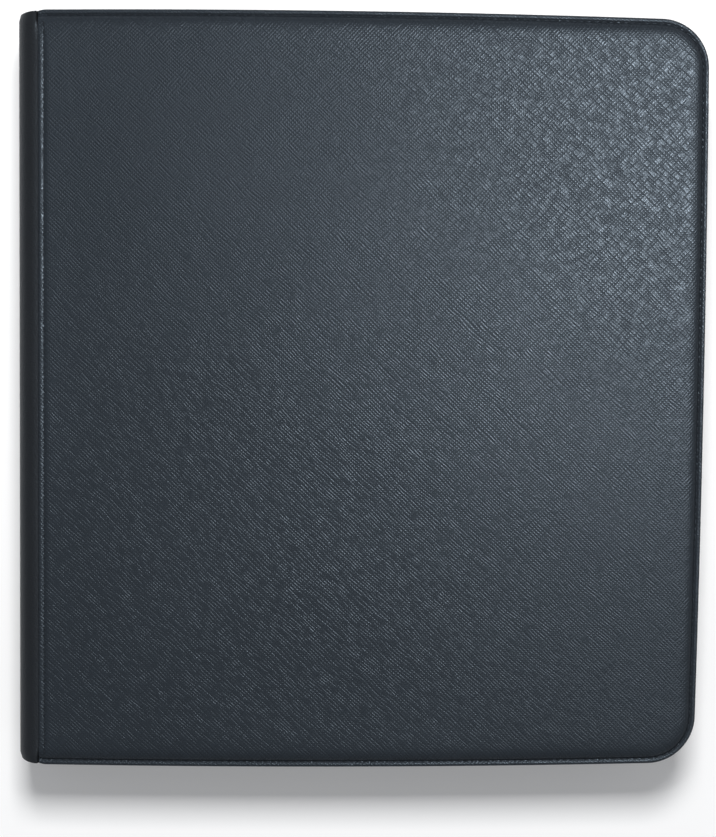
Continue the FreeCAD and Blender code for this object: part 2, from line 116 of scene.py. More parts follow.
class BinderSizes(bpy.types.PropertyGroup):
    """Sizes of the soft parts."""
    corner_radius: length("Corner radius", "Radius of the fore-edge corners", 0.022, 0.018)
    wrap_radius: length("Spine radius", "Radius at which the wrap turns from the spine to a cover", 0.0085)
    stitch_pitch: length("Stitch pitch", "Distance from one stitch to the next", 0.0034, 0.001)
    stitch_length: length("Stitch length", "Visible length of a stitch", 0.0026)
    thread: length("Thread", "Thickness of the sewing thread", 0.00052)
    rim_stitch_inset: length("Rim stitch inset", "Rim stitching, in from the edge", 0.0025)
    seam_stitch_inset: length("Seam stitch inset", "Topstitching, in from the panel's spine edge", 0.0027)
    tooth_pitch: length("Tooth pitch", "Distance between teeth on one half of the zip", 0.0026, 0.001)
    tooth_width: length("Tooth width", "Width of a tooth along the zip", 0.00115)
    unevenness: length("Unevenness", "How far the padding sinks in its low places", 0.00022)


class BinderColours(bpy.types.PropertyGroup):
    """Colours of the finishes, in linear light."""
    cover: colour("Cover", "Grained leatherette of the covers", (0.0158, 0.0200, 0.0252))
    cover_lines: colour("Cover lines", "Pressed lines of the leatherette", (0.0060, 0.0076, 0.0100))
    spine: colour("Spine", "Leatherette of the spine wrap", (0.0095, 0.0098, 0.0108))
    thread: colour("Thread", "Sewing thread", (0.0060, 0.0065, 0.0080))
    lining: colour("Lining", "Woven lining", (0.0120, 0.0125, 0.0145))
    tape: colour("Tape", "Zip tape", (0.0130, 0.0135, 0.0150))
    teeth: colour("Teeth", "Nylon teeth of the zip", (0.0260, 0.0265, 0.0290))
    metal: colour("Metal", "Black nickel of the slider and pull", (0.135, 0.135, 0.140))
    sheet: colour("Sheet", "Black page sheet", (0.0085, 0.0085, 0.0095))
    film: colour("Film", "Clear pocket film", (0.80, 0.83, 0.88))
    board: colour("Board", "Grey board inside the covers", (0.20, 0.19, 0.175))
    foam: colour("Foam", "Foam inside the covers", (0.09, 0.09, 0.10))


def sizes():
    return bpy.context.scene.binder_sizes


def colours():
    return bpy.context.scene.binder_colours


# ---- Small mesh helpers ----
def side_of(front):
    return "front" if front else "back"


def only(geom, kind):
    """The vertices, edges or faces in what an operator returns."""
    return [item for item in geom if isinstance(item, kind)]


def to_object(bm, name, material, body=None, smooth_angle=40.0):
    """Makes an object of the mesh, shades it smooth up to an angle and sets it on its body."""
    mesh = bpy.data.meshes.new(name)
    bm.normal_update()
    for face in bm.faces:
        face.smooth = True
    limit = math.radians(smooth_angle)
    for edge in bm.edges:
        if edge.is_manifold and edge.calc_face_angle(0.0) > limit:
            edge.smooth = False
    bm.to_mesh(mesh)
    bm.free()
    mesh.materials.append(material)
    obj = bpy.data.objects.new(name, mesh)
    bpy.context.scene.collection.objects.link(obj)
    if body:
        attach(obj, body)
    return obj


def turned(bm):
    """Points every face of a closed shell outwards, after its doubles are merged."""
    bmesh.ops.remove_doubles(bm, verts=bm.verts, dist=1e-7)
    bmesh.ops.recalc_face_normals(bm, faces=bm.faces)


def at_front(point):
    """The same point on the front cover."""
    return Vector((point[0], point[1], THICK - point[2]))


def flip_to_front(bm):
    """Turns a piece made for the back cover over to the front cover."""
    for vert in bm.verts:
        vert.co.z = THICK - vert.co.z
    bmesh.ops.reverse_faces(bm, faces=bm.faces)


def curve_through(pairs, value):
    """Height at a distance, from a list of (distance, height), straight between them."""
    if value <= pairs[0][0]:
        return pairs[0][1]
    for (a, low), (b, high) in zip(pairs, pairs[1:]):
        if value <= b:
            return low + (high - low) * (value - a) / (b - a)
    return pairs[-1][1]


def bowed(x, y):
    """Moves a point of the square outline onto the outline whose edges bow out."""
    bow_y = HEAD_BOW * (1 - ((x - CENTRE_X) / HALF_W) ** 2) * y / HALF_H
    bow_x = FORE_BOW * (1 - (y / HALF_H) ** 2) * max(0.0, (x - CENTRE_X) / HALF_W)
    return x + bow_x, y + bow_y


def thick_sheet(bm, move):
    """Gives an open sheet a second side, moved by move(vertex), and closes the edge between."""
    faces = list(bm.faces)
    copied = bmesh.ops.duplicate(bm, geom=list(bm.verts) + list(bm.edges) + faces)
    for vert in only(copied["geom"], BMVert):
        vert.co = move(vert)
    bmesh.ops.reverse_faces(bm, faces=only(copied["geom"], BMFace))
    rims = [edge for edge in bm.edges if edge.is_boundary]
    bmesh.ops.bridge_loops(bm, edges=rims)


def ended(bm):
    """Closes the open ends of a swept section."""
    bmesh.ops.holes_fill(bm, edges=[edge for edge in bm.edges if edge.is_boundary], sides=0)


def copied_to(bm, pattern, places):
    """Adds a copy of the pattern mesh at each place."""
    mesh = bpy.data.meshes.new("pattern")
    pattern.to_mesh(mesh)
    pattern.free()
    for place in places:
        copy = mesh.copy()
        copy.transform(place)
        bm.from_mesh(copy)
        bpy.data.meshes.remove(copy)
    bpy.data.meshes.remove(mesh)


def add_block(bm, place, size):
    """Adds a box of a size (x, y, z), set at a place by its middle."""
    bmesh.ops.create_cube(bm, size=1.0, matrix=place @ Matrix.Diagonal((*size, 1.0)))


def round_off(bm, edges, offset, segments):
    bmesh.ops.bevel(bm, geom=edges, offset=offset, offset_type="OFFSET", segments=segments, profile=0.5,
                    affect="EDGES", material=-1)


def round_corners(bm, verts, radius, segments):
    """Rounds the corners of a flat face."""
    bmesh.ops.bevel(bm, geom=verts, offset=radius, offset_type="OFFSET", segments=segments, profile=0.5,
                    affect="VERTICES", material=-1, clamp_overlap=False)


def push_edges(bm, edges, vector):
    """Extrudes a row of edges by a vector and returns the new row."""
    made = bmesh.ops.extrude_edge_only(bm, edges=edges)["geom"]
    verts = only(made, BMVert)
    bmesh.ops.translate(bm, verts=verts, vec=vector)
    return [edge for edge in only(made, BMEdge) if all(vert in verts for vert in edge.verts)]


def cover_piece(bm, front, ending, finish_name, smooth_angle=40.0):
    """Makes an object of a mesh built for the back cover, on the back or the front cover."""
    if front:
        flip_to_front(bm)
    side = side_of(front)
    return to_object(bm, side + ending, finish(finish_name), side + "_cover", smooth_angle)


def round_three_sides(bm, edges, x0):
    """Sweeps a section from x0 on the tail edge round the fore-edge and back along the head."""
    radius = sizes().corner_radius
    corner = Vector((FORE_X - radius, -(HALF_H - radius), 0))

    def turn(edges, centre):
        verts = list({vert for edge in edges for vert in edge.verts})
        made = bmesh.ops.spin(bm, geom=verts + list(edges), cent=centre, axis=(0, 0, 1), dvec=(0, 0, 0),
                              angle=QUARTER, steps=14, use_merge=False, use_duplicate=False)
        return only(made["geom_last"], BMEdge)

    edges = push_edges(bm, edges, Vector((corner.x - x0, 0, 0)))
    edges = turn(edges, corner)
    edges = push_edges(bm, edges, Vector((0, -2 * corner.y, 0)))
    edges = turn(edges, Vector((corner.x, -corner.y, 0)))
    return push_edges(bm, edges, Vector((x0 - corner.x, 0, 0)))


def section_loop(bm, points, x):
    """A closed loop of edges in the plane at x, from (distance in from the tail edge, height)."""
    verts = [bm.verts.new((x, -(HALF_H - inset), z)) for inset, z in points]
    return [bm.edges.new((verts[i], verts[(i + 1) % len(verts)])) for i in range(len(verts))]


def stations(inset, x0, pitch):
    """Evenly spaced places (x, y, heading) round the three free sides, at a distance in from them."""
    radius = sizes().corner_radius
    bend = radius - inset
    corner_x, corner_y = FORE_X - radius, HALF_H - radius
    arc = bend * QUARTER
    legs = [
        (corner_x - x0, lambda t: (x0 + t, -(HALF_H - inset), 0.0)),
        (arc, lambda t: (corner_x + bend * math.sin(t / bend), -corner_y - bend * math.cos(t / bend),
                         t / bend)),
        (2 * corner_y, lambda t: (FORE_X - inset, -corner_y + t, QUARTER)),
        (arc, lambda t: (corner_x + bend * math.cos(t / bend), corner_y + bend * math.sin(t / bend),
                         QUARTER + t / bend)),
        (corner_x - x0, lambda t: (corner_x - t, HALF_H - inset, math.pi)),
    ]
    total = sum(leg for leg, _ in legs)
    count = int(round(total / pitch))
    places = []
    for index in range(count):
        along = (index + 0.5) * total / count
        for leg, place in legs:
            if along < leg:
                break
            along -= leg
        places.append(place(along))
    return places


# ---- Shader helpers ----
def add_node(tree, kind, label=None, **inputs):
    """Adds a node; keywords set its own settings or, where they are not settings, its inputs."""
    node = tree.nodes.new("ShaderNode" + kind)
    if label:
        node.label = label
    for key, value in inputs.items():
        if hasattr(node, key):
            setattr(node, key, value)
            continue
        numbered = key[0] == "i" and key[1:].isdigit()
        socket = node.inputs[int(key[1:]) if numbered else key.replace("_", " ")]
        if isinstance(value, bpy.types.NodeSocket):
            tree.links.new(value, socket)
        else:
            socket.default_value = value
    return node


def maths(tree, operation, a, b=None, c=None):
    node = tree.nodes.new("ShaderNodeMath")
    node.operation = operation
    for socket, value in zip(node.inputs, (a, b, c)):
        if value is None:
            continue
        if isinstance(value, bpy.types.NodeSocket):
            tree.links.new(value, socket)
        else:
            socket.default_value = value
    return node.outputs[0]


def product(tree, a, b):
    return maths(tree, "MULTIPLY", a, b)


def feed(tree, shader, label, value):
    tree.links.new(value, shader.inputs[label])


def object_point(tree):
    return add_node(tree, "TexCoord").outputs["Object"]


def times(tint, factor):
    """A colour made lighter or darker by a factor."""
    return [value * factor for value in tint]


def new_group(name, inputs, outputs):
    """A shader node group with named value inputs and outputs."""
    group = bpy.data.node_groups.new(name, "ShaderNodeTree")
    for label, default in inputs:
        socket = group.interface.new_socket(label, in_out="INPUT", socket_type="NodeSocketFloat")
        socket.default_value = default
    for label in outputs:
        group.interface.new_socket(label, in_out="OUTPUT", socket_type="NodeSocketFloat")
    return group, group.nodes.new("NodeGroupInput").outputs, group.nodes.new("NodeGroupOutput").inputs


def stretched_noise(tree, point, along, across, angle, detail=1.0):
    """Noise drawn out into strokes that lie at an angle in the plane of the cover."""
    turn = add_node(tree, "VectorRotate", rotation_type="Z_AXIS", Vector=point, Angle=angle)
    parts = add_node(tree, "SeparateXYZ", Vector=turn.outputs[0])
    where = add_node(tree, "CombineXYZ", X=product(tree, parts.outputs[0], along),
                     Y=product(tree, parts.outputs[1], across),
                     Z=product(tree, parts.outputs[2], across))
    noise = add_node(tree, "TexNoise", Vector=where.outputs[0], Scale=1.0, Detail=detail,
                     Roughness=0.55)
    return noise.outputs[0]


def hatching(tree, point, pitch, stroke, angle, seed):
    """Parallel pressed lines at an angle, drifting a little and thinning out between strokes."""
    turn = add_node(tree, "VectorRotate", rotation_type="Z_AXIS", Vector=point, Angle=angle)
    parts = add_node(tree, "SeparateXYZ", Vector=turn.outputs[0])
    across = maths(tree, "DIVIDE", parts.outputs[0], pitch)
    along = maths(tree, "DIVIDE", parts.outputs[1], stroke)

    def noise(wide, far, layer, detail):
        where = add_node(tree, "CombineXYZ", X=product(tree, across, wide),
                         Y=product(tree, along, far), Z=layer)
        node = add_node(tree, "TexNoise", Vector=where.outputs[0], Scale=1.0, Detail=detail)
        return node.outputs[0]

    drift = product(tree, noise(0.13, 0.30, seed, 1.0), 2.0)
    wave = maths(tree, "SINE", product(tree, maths(tree, "ADD", across, drift), 2 * math.pi))
    line = maths(tree, "MULTIPLY_ADD", wave, 0.5, 0.5)
    thin = product(tree, maths(tree, "SUBTRACT", noise(0.85, 1.1, seed + 9.0, 2.0), 0.27), 3.4)
    return product(tree, line, add_node(tree, "Clamp", Value=thin).outputs[0])


def make_crosshatch():
    """Short pressed lines that cross at right angles: the grain of cross-hatched leatherette."""
    group, given, out = new_group("Crosshatch Grain", [("Pitch", 0.0012), ("Stroke", 0.007)],
                                  ["Height", "Lines"])
    point = object_point(group)
    first = hatching(group, point, given["Pitch"], given["Stroke"], math.radians(44), 3.0)
    second = hatching(group, point, given["Pitch"], given["Stroke"], math.radians(-47), 5.0)
    line = maths(group, "MAXIMUM", product(group, first, 0.9), second)
    fine = add_node(group, "TexNoise", Vector=point, Detail=2.0,
                    Scale=maths(group, "DIVIDE", 2.6, given["Pitch"]))
    height = maths(group, "ADD", product(group, line, -1.0),
                   product(group, fine.outputs[0], 0.35))
    group.links.new(height, out["Height"])
    group.links.new(line, out["Lines"])
    return group


def make_pebble():
    """Fine closed cells with soft tops, as on smooth leatherette."""
    group, given, out = new_group("Pebble Grain", [("Pitch", 0.0007)], ["Height", "Cells"])
    point = object_point(group)
    scale = maths(group, "DIVIDE", 1.0, given["Pitch"])
    cells = add_node(group, "TexVoronoi", Vector=point, Scale=scale, feature="SMOOTH_F1")
    noise = add_node(group, "TexNoise", Vector=point, Detail=2.0,
                     Scale=product(group, scale, 0.5))
    height = maths(group, "SUBTRACT", product(group, noise.outputs[0], 0.8),
                   cells.outputs["Distance"])
    group.links.new(height, out["Height"])
    group.links.new(cells.outputs["Distance"], out["Cells"])
    return group


def make_weave():
    """Threads over and under each other, on flat faces and on upright walls alike."""
    group, given, out = new_group("Plain Weave", [("Pitch", 0.0008), ("Slant", 0.0)], ["Height", "Threads"])
    point = object_point(group)
    parts = add_node(group, "SeparateXYZ", Vector=point)
    turn = maths(group, "DIVIDE", 2 * math.pi, given["Pitch"])
    x, y, z = (product(group, parts.outputs[i], turn) for i in range(3))
    first = maths(group, "ADD", x, product(group, z, 0.5))
    second = maths(group, "ADD", maths(group, "ADD", y, product(group, z, 0.5)),
                   product(group, first, given["Slant"]))
    waves = product(group, maths(group, "SINE", first), maths(group, "SINE", second))
    height = maths(group, "MULTIPLY_ADD", waves, 0.5, 0.5)
    group.links.new(height, out["Height"])
    group.links.new(maths(group, "ABSOLUTE", waves), out["Threads"])
    return group


def make_handling():
    """Broad soft marks and thin scuffs that use leaves on a surface."""
    group, given, out = new_group("Handling Marks", [("Size", 0.05), ("Amount", 0.5)], ["Marks", "Scuffs"])
    point = object_point(group)
    scale = maths(group, "DIVIDE", 1.0, given["Size"])
    broad = add_node(group, "TexNoise", Vector=point, Scale=scale, Detail=3.0, Roughness=0.6)
    thin = stretched_noise(group, point, product(group, scale, 1.5),
                           product(group, scale, 40.0), math.radians(63), 2.0)
    scuff = product(group, maths(group, "GREATER_THAN", thin, 0.74), given["Amount"])
    group.links.new(product(group, broad.outputs[0], given["Amount"]), out["Marks"])
    group.links.new(scuff, out["Scuffs"])
    return group


def grain_groups():
    """The shared effects, each built once."""
    makers = {"Crosshatch Grain": make_crosshatch, "Pebble Grain": make_pebble,
              "Plain Weave": make_weave, "Handling Marks": make_handling}
    return {name: bpy.data.node_groups.get(name) or make() for name, make in makers.items()}


def place_group(tree, name, **values):
    """Places a shared effect in a material and returns its outputs."""
    node = tree.nodes.new("ShaderNodeGroup")
    node.node_tree = grain_groups()[name]
    for key, value in values.items():
        node.inputs[key.replace("_", " ")].default_value = value
    return node.outputs


def start_material(name, roughness=0.5):
    """A new material with its Principled shader, ready for links."""
    material = bpy.data.materials.new(name + "_finish")
    material.use_nodes = True
    shader = material.node_tree.nodes["Principled BSDF"]
    shader.inputs["Roughness"].default_value = roughness
    shader.inputs["Specular Tint"].default_value = (0.72, 0.86, 1.0, 1.0)
    return material, material.node_tree, shader


def handling_marks(tree, size):
    return place_group(tree, "Handling Marks", Size=size, Amount=1.0)


def mixed(tree, factor, low, high):
    """A colour between two, by a factor."""
    node = add_node(tree, "Mix", data_type="RGBA")
    tree.links.new(factor, node.inputs["Factor"])
    for label, value in (("A", low), ("B", high)):
        socket = [item for item in node.inputs if item.name == label and item.type == "RGBA"][0]
        if isinstance(value, bpy.types.NodeSocket):
            tree.links.new(value, socket)
        else:
            socket.default_value = (*value, 1.0)
    return [item for item in node.outputs if item.type == "RGBA"][0]


def between(tree, value, low, high):
    """Maps 0..1 to low..high."""
    return maths(tree, "MULTIPLY_ADD", value, high - low, low)


def bump(tree, shader, height, distance, strength=1.0):
    node = add_node(tree, "Bump", Strength=strength, Distance=distance, Height=height)
    feed(tree, shader, "Normal", node.outputs[0])


def finish_cover():
    """Cross-hatched leatherette with a soft gloss on its raised islands."""
    c = colours()
    material, tree, shader = start_material("cover_leatherette")
    grain = place_group(tree, "Crosshatch Grain", Pitch=0.00132, Stroke=0.0065)
    marks = handling_marks(tree, 0.06)
    tone = mixed(tree, marks["Marks"], times(c.cover, 0.86), times(c.cover, 1.16))
    feed(tree, shader, "Base Color", mixed(tree, grain["Lines"], tone, c.cover_lines))
    rough = maths(tree, "ADD", between(tree, grain["Lines"], 0.24, 0.56),
                  between(tree, marks["Marks"], -0.04, 0.04))
    feed(tree, shader, "Roughness", rough)
    bump(tree, shader, grain["Height"], 0.00009, 1.0)
    return material


def finish_spine():
    """Smoother leatherette of the wrap and the zip's end tabs."""
    c = colours()
    material, tree, shader = start_material("spine_leatherette")
    grain = place_group(tree, "Pebble Grain", Pitch=0.0008)
    marks = handling_marks(tree, 0.04)
    tone = mixed(tree, marks["Marks"], times(c.spine, 0.85), times(c.spine, 1.2))
    feed(tree, shader, "Base Color", mixed(tree, grain["Cells"], tone, times(c.spine, 0.6)))
    feed(tree, shader, "Roughness", between(tree, marks["Marks"], 0.44, 0.56))
    bump(tree, shader, grain["Height"], 0.00012, 0.8)
    return material


def finish_woven(name, tint, pitch, slant=0.0, roughness=0.85, depth=0.00018, sheen=0.25):
    """A woven cloth or tape."""
    material, tree, shader = start_material(name, roughness)
    weave = place_group(tree, "Plain Weave", Pitch=pitch, Slant=slant)
    marks = handling_marks(tree, 0.03)
    tone = mixed(tree, marks["Marks"], times(tint, 0.8), times(tint, 1.25))
    feed(tree, shader, "Base Color", mixed(tree, weave["Threads"], times(tint, 0.55), tone))
    shader.inputs["Sheen Weight"].default_value = sheen
    bump(tree, shader, weave["Height"], depth, 0.8)
    return material


def finish_thread():
    c = colours()
    material, tree, shader = start_material("thread", 0.6)
    twist = place_group(tree, "Plain Weave", Pitch=0.0005, Slant=1.0)
    feed(tree, shader, "Base Color",
         mixed(tree, twist["Threads"], times(c.thread, 0.6), times(c.thread, 1.5)))
    bump(tree, shader, twist["Height"], 0.00008, 0.7)
    return material


def finish_teeth():
    c = colours()
    material, tree, shader = start_material("zip_teeth")
    marks = handling_marks(tree, 0.01)
    feed(tree, shader, "Base Color",
         mixed(tree, marks["Marks"], times(c.teeth, 0.7), times(c.teeth, 1.5)))
    feed(tree, shader, "Roughness", between(tree, marks["Marks"], 0.28, 0.5))
    return material


def finish_metal():
    """Black nickel on cast zinc, brighter where hands have polished it."""
    c = colours()
    material, tree, shader = start_material("zip_metal")
    marks = handling_marks(tree, 0.005)
    tone = mixed(tree, marks["Marks"], times(c.metal, 0.6), times(c.metal, 1.4))
    polished = (0.32, 0.31, 0.30)
    feed(tree, shader, "Base Color", mixed(tree, marks["Scuffs"], tone, polished))
    feed(tree, shader, "Roughness", between(tree, marks["Marks"], 0.20, 0.44))
    shader.inputs["Metallic"].default_value = 1.0
    return material


BAND_REACH = 0.012  # far edge of the woven band, from the page's bound edge


def finish_sheet():
    """Matte black sheet with a woven band along its bound edge."""
    c = colours()
    material, tree, shader = start_material("page_sheet")
    parts = add_node(tree, "SeparateXYZ", Vector=object_point(tree))
    band = maths(tree, "LESS_THAN", parts.outputs[0], PAGE_LOW[0] + BAND_REACH)
    weave = place_group(tree, "Plain Weave", Pitch=0.0009)
    grain = place_group(tree, "Pebble Grain", Pitch=0.0006)
    woven = mixed(tree, weave["Threads"], times(c.tape, 0.5), times(c.tape, 1.8))
    feed(tree, shader, "Base Color", mixed(tree, band, c.sheet, woven))
    feed(tree, shader, "Roughness", between(tree, band, 0.42, 0.8))
    plain = product(tree, grain["Height"], maths(tree, "SUBTRACT", 1.0, band))
    height = maths(tree, "ADD", product(tree, weave["Height"], band),
                   product(tree, plain, 0.3))
    bump(tree, shader, height, 0.00012, 0.7)
    return material


def weld_mask(tree):
    """1 on the heat-sealed seams between the pockets of a page that lies flat."""
    parts = add_node(tree, "SeparateXYZ", Vector=object_point(tree))
    column = (FILM_HIGH[0] - FILM_LOW[0] + MOUTH_GAP) / COLUMNS
    row = (FILM_HIGH[1] - FILM_LOW[1] - WELD_W) / ROWS
    seams = []
    for axis, start, pitch in ((0, FILM_HIGH[0] - WELD_W / 2, column), (1, FILM_HIGH[1] - WELD_W / 2, row)):
        place = maths(tree, "SUBTRACT", start, parts.outputs[axis])
        seams.append(maths(tree, "LESS_THAN", maths(tree, "PINGPONG", place, pitch / 2), WELD_W / 2))
    return maths(tree, "MAXIMUM", seams[0], seams[1])


def finish_film():
    """Clear film: a glossy, slightly wavy skin, clouded and pressed where it is welded."""
    c = colours()
    material, tree, shader = start_material("page_film", 0.12)
    marks = handling_marks(tree, 0.035)
    press = place_group(tree, "Plain Weave", Pitch=0.0010)
    weld = weld_mask(tree)
    shader.inputs["Base Color"].default_value = (*c.film, 1.0)
    shader.inputs["Specular IOR Level"].default_value = 0.5
    wave = maths(tree, "ADD", marks["Marks"],
                 product(tree, product(tree, press["Height"], weld), 0.5))
    bump(tree, shader, wave, 0.0005, 0.7)
    feed(tree, shader, "Roughness", between(tree, weld, 0.10, 0.35))
    clear = add_node(tree, "BsdfTransparent")
    fresnel = add_node(tree, "Fresnel", IOR=1.5)
    gloss = add_node(tree, "BsdfAnisotropic", Color=(0.9, 0.93, 1.0, 1.0), Roughness=0.14)
    skin = add_node(tree, "MixShader", i0=fresnel.outputs[0], i1=clear.outputs[0],
                    i2=gloss.outputs[0])
    cloud = maths(tree, "ADD", between(tree, weld, 0.012, 0.10),
                  product(tree, marks["Marks"], 0.012))
    both = add_node(tree, "MixShader", i0=cloud, i1=skin.outputs[0], i2=shader.outputs[0])
    tree.links.new(both.outputs[0], tree.nodes["Material Output"].inputs["Surface"])
    return material


def finish_plain(name, tint, size, roughness=0.9, depth=0.0002):
    """Board or foam: a dull body with a fibrous or cellular surface."""
    material, tree, shader = start_material(name, roughness)
    grain = place_group(tree, "Pebble Grain", Pitch=size)
    feed(tree, shader, "Base Color", mixed(tree, grain["Cells"], tint, times(tint, 0.6)))
    bump(tree, shader, grain["Height"], depth, 0.7)
    return material


def finish(name):
    """The named finish, made the first time that it is asked for."""
    c = colours()
    makers = {
        "cover_leatherette": finish_cover,
        "spine_leatherette": finish_spine,
        "lining": lambda: finish_woven("lining", list(c.lining), 0.0009, 0.0, 0.8, 0.00015, 0.15),
        "zip_tape": lambda: finish_woven("zip_tape", list(c.tape), 0.0011, 1.0, 0.85, 0.0002, 0.2),
        "page_binding": lambda: finish_woven("page_binding", list(c.tape), 0.0010),
        "thread": finish_thread,
        "zip_teeth": finish_teeth,
        "zip_metal": finish_metal,
        "page_sheet": finish_sheet,
        "page_film": finish_film,
        "board": lambda: finish_plain("board", list(c.board), 0.0012),
        "foam": lambda: finish_plain("foam", list(c.foam), 0.0006),
    }
    return bpy.data.materials.get(name + "_finish") or makers[name]()


def dress(node, name):
    """Gives a CAD node its finish."""
    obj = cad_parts[node]
    for material_slot in obj.material_slots:
        material_slot.material = finish(name)
    return obj


# ---- Covers ----
# Distance in from the edge, depth below the cover's face and depth of the inner side, in mm.
EDGE_RINGS = [
    (0.0, 3.00, 3.02), (0.12, 2.66, 3.40), (0.35, 2.40, 3.66), (0.75, 2.26, 3.80), (1.3, 2.24, 3.80),
    (1.8, 2.36, 3.80), (2.2, 2.66, 3.80), (2.5, 2.80, 3.80), (2.8, 2.62, 3.80), (3.2, 2.12, 3.80),
    (3.8, 1.52, 3.80), (4.6, 1.04, 3.80), (5.6, 0.70, 3.80), (6.6, 0.48, 3.80), (7.2, 0.37, 0.82),
    (8.6, 0.22, 0.80), (10.5, 0.12, 0.80), (13.0, 0.05, 0.80), (16.0, 0.0, 0.80),
]
SEAM_RINGS = [
    (0.0, 0.74), (0.12, 0.40), (0.35, 0.12), (0.75, 0.0), (1.3, 0.0), (1.8, 0.06), (2.2, 0.20), (2.7, 0.34),
    (3.2, 0.20), (3.8, 0.06), (4.6, 0.0),
]


GRID_STEP = 0.0105  # between the cuts that cross a panel
GRID_START = 0.006  # where they start, from the seam and from the tail edge
SEAM_CORNER = 0.0125  # how far the rings of the head and tail edges reach
KEEP_APART = 0.06  # least thickness of the leatherette, in mm
RIM_FLAT, RIM_FADE = 5, 14  # the padding is even near the rim, then uneven, in mm
PINCH = 0.0006  # how far the panel is drawn in where the seam ends


def cut(bm, place, normal, inside):
    """Cuts new edges where a plane crosses the faces that lie wholly inside a zone."""
    faces = [face for face in bm.faces if all(inside(vert.co) for vert in face.verts)]
    edges = {edge for face in faces for edge in face.edges}
    verts = {vert for face in faces for vert in face.verts}
    bmesh.ops.bisect_plane(bm, geom=faces + list(edges) + list(verts), dist=1e-6, plane_co=place,
                           plane_no=normal)


def cover_sheet(bm):
    """A flat sheet in the covers' outline before its edges bow out, ringed at each distance in EDGE_RINGS."""
    radius = sizes().corner_radius
    bmesh.ops.create_grid(bm, x_segments=1, y_segments=1, size=0.5)
    for vert in bm.verts:
        vert.co = Vector((FORE_X if vert.co.x > 0 else SEAM_X, HALF_H if vert.co.y > 0 else -HALF_H, 0))
    round_corners(bm, [vert for vert in bm.verts if vert.co.x > 0], radius, 18)
    middle = bm.faces[:] if len(bm.faces) == 1 else [max(bm.faces, key=lambda face: face.calc_area())]
    for (near, _, _), (far, _, _) in zip(EDGE_RINGS, EDGE_RINGS[1:]):
        bmesh.ops.inset_region(bm, faces=middle, thickness=(far - near) * MM, depth=0.0,
                               use_boundary=True, use_even_offset=True)
    for normal, low, high in ((Vector((1, 0, 0)), SEAM_X + GRID_START, FORE_X - radius / 2),
                              (Vector((0, 1, 0)), -HALF_H + GRID_START, HALF_H)):
        for index in range(1, int((high - low) / GRID_STEP) + 1):
            cut(bm, normal * (low + index * GRID_STEP), normal, lambda point: True)
    by_seam = SEAM_X + GRID_START + GRID_STEP + 1e-5
    by_end = HALF_H - SEAM_CORNER
    for near, _, _ in EDGE_RINGS[1:]:
        for y in (HALF_H - near * MM, near * MM - HALF_H):
            cut(bm, Vector((0, y, 0)), Vector((0, 1, 0)), lambda point: point.x < by_seam)
    for near, _ in SEAM_RINGS[1:]:
        cut(bm, Vector((SEAM_X + near * MM, 0, 0)), Vector((1, 0, 0)),
            lambda point: point.x < by_seam and abs(point.y) > by_end)


def from_edge(x, y):
    """Distance in mm from the nearest free edge, before the edges bow out."""
    radius = sizes().corner_radius
    past_x, past_y = x - (FORE_X - radius), abs(y) - (HALF_H - radius)
    if past_x > 0 and past_y > 0:
        return (radius - math.hypot(past_x, past_y)) / MM
    return min(FORE_X - x, HALF_H - abs(y)) / MM


def sunk(x, y):
    """How far the padding sinks at a place, 0 to 1, in a few broad soft waves."""
    wave = (math.sin(31 * x + 1.3) * math.sin(27 * y + 0.4) + 0.6 * math.sin(58 * x - 40 * y + 2.1)
            + 0.5 * math.sin(71 * y + 25 * x))
    return 0.5 + 0.5 * max(-1.0, min(1.0, wave / 1.6))


def make_cover(front):
    """Padded leatherette panel: crowned face, sewn rim and edge turned in, with the seam by the spine."""
    bm = bmesh.new()
    inner_depth = bm.verts.layers.float.new("inner")
    cover_sheet(bm)
    face_side = [(near, depth) for near, depth, _ in EDGE_RINGS]
    inner_side = [(near, depth) for near, _, depth in EDGE_RINGS]
    uneven = sizes().unevenness / MM
    for vert in bm.verts:
        x, y = vert.co.x, vert.co.y
        edge, seam = from_edge(x, y), (x - SEAM_X) / MM
        outer = max(curve_through(face_side, edge), curve_through(SEAM_RINGS, seam))
        fade = max(0.0, min(1.0, (edge - RIM_FLAT) / RIM_FADE, (seam - RIM_FLAT) / RIM_FADE))
        outer += uneven * sunk(x, y) * fade
        vert[inner_depth] = max(curve_through(inner_side, edge), outer + KEEP_APART)
        x, y = bowed(x, y)
        near_seam = max(0.0, 1 - seam / 3.5) ** 2 * max(0.0, 1 - edge / 6)
        vert.co = Vector((x, y - math.copysign(PINCH * near_seam, y), outer * MM))
    thick_sheet(bm, lambda vert: Vector((vert.co.x, vert.co.y, vert[inner_depth] * MM)))
    bm.verts.layers.float.remove(inner_depth)
    turned(bm)
    obj = cover_piece(bm, front, "_cover_panel", "cover_leatherette", 60)
    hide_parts(side_of(front) + "_panel_skin")
    return obj


# ---- Spine ----
WRAP_T = 0.0008  # thickness of the wrap, doubled in the hem at each end
WRAP_UNDERLAP = 0.0046  # how far it goes under a panel
ROLL_REACH, ROLL_DEPTH = 0.0035, 0.0008  # its ends roll in over this length, by this depth
DRAW_REACH, DRAW_IN = 0.012, 0.0020  # and its ends are drawn in at the spine
HEM_REACH, HEM_STEP = 0.0032, 0.0008  # start of the hem from the end tabs, and its step
ON_SEAM = 0.0002  # what lies this near the seam counts as on it


